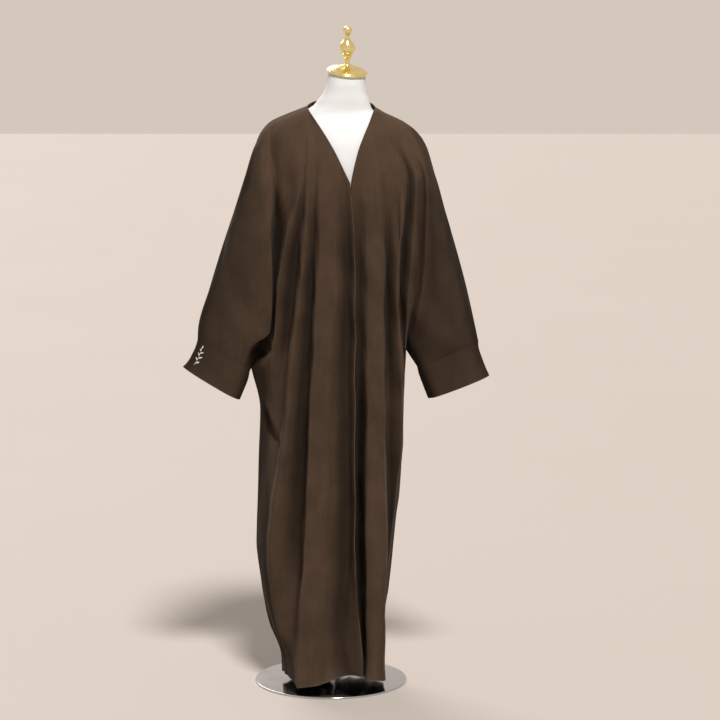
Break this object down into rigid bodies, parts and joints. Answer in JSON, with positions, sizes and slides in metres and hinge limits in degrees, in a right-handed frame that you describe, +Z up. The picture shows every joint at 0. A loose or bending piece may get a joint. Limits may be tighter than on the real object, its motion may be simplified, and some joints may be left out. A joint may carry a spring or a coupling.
{
  "type": "open-front abaya on a limbless dress form with a floor stand",
  "caption": "Long open-front abaya with wide cut-in-one sleeves and plain cuffs, worn by a cloth-covered dress form with a turned neck finial on a pole and round floor plate.",
  "frame": {"origin": "centre of the floor plate's underside", "axes": "+Z up along the stand, -Y toward the front opening, +X toward the wearer's left sleeve"},
  "size_m": [0.7338, 0.366, 1.5716],
  "materials": {
    "abaya_cloth": "dark brown suede-faced crepe, matt with a soft nap",
    "form_cover": "white stretch cover, smooth and matt",
    "gold": "polished gold-coloured turning",
    "chrome": "bright plated steel, mirror smooth"
  },
  "bodies": {
    "root": {"base_plate": "chrome", "pole_socket": "chrome", "pole": "chrome", "form_torso": "form_cover", "neck_cap_finial": "gold", "abaya_front_right": "abaya_cloth", "abaya_front_left": "abaya_cloth", "abaya_back": "abaya_cloth", "cuff_right": "abaya_cloth", "cuff_left": "abaya_cloth"}
  },
  "joints": []
}
